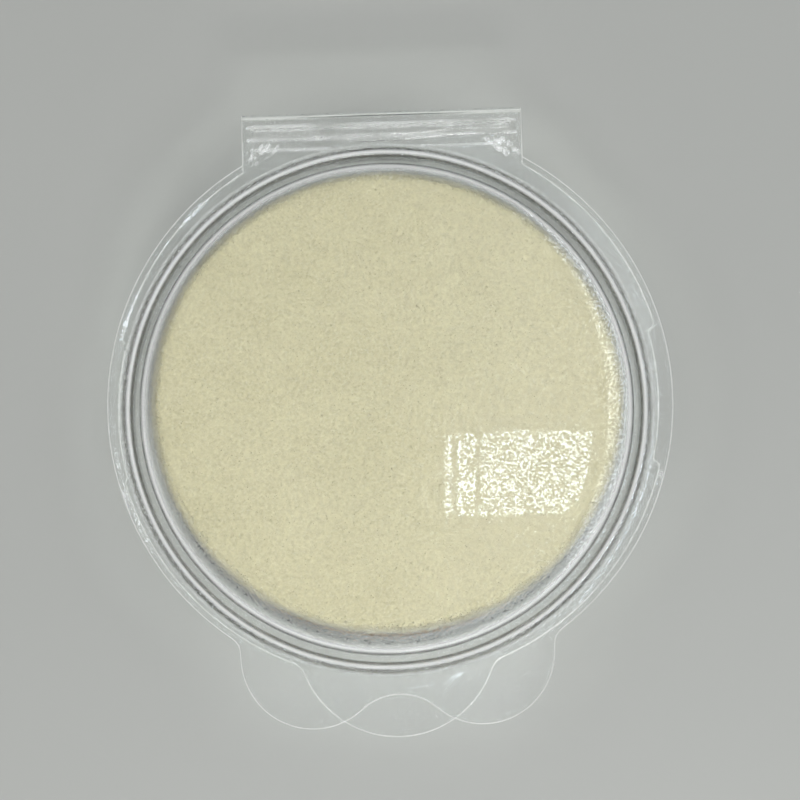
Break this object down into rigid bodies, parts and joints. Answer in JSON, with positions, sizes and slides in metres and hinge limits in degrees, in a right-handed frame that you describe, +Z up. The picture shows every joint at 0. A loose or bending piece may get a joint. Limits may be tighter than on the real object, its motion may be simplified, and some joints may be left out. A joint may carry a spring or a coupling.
{
  "type": "pressed powder refill in a hinged clear clamshell",
  "caption": "Round hinged clamshell of clear formed plastic with pull tabs, holding a pan of pressed powder under a cream velour puff.",
  "frame": {"origin": "centre of the tray's flat underside, on the axis of the round cup", "axes": "+Z up, out of the tray towards the lid's window; +Y towards the hinge; the pull tabs point to -Y"},
  "size_m": [0.0722, 0.0801, 0.0104],
  "materials": {
    "clear_sheet": "gloss",
    "pan_metal": "satin",
    "powder": "matte",
    "velour": "matte",
    "foam": "matte"
  },
  "bodies": {
    "base": {"base_shell": "clear_sheet", "hinge_fold": "clear_sheet", "powder_pan": "pan_metal", "pressed_cake": "powder", "puff_face_bottom": "velour", "puff_foam_core": "foam", "puff_face_top": "velour"},
    "lid": {"lid_shell": "clear_sheet"}
  },
  "joints": [
    {"name": "lid_hinge", "type": "hinge", "parent": "base", "child": "lid", "pos_m": [0, 0.0374, 0.00932], "axis": [-1, 0, 0], "range_deg": [0, 180]}
  ]
}
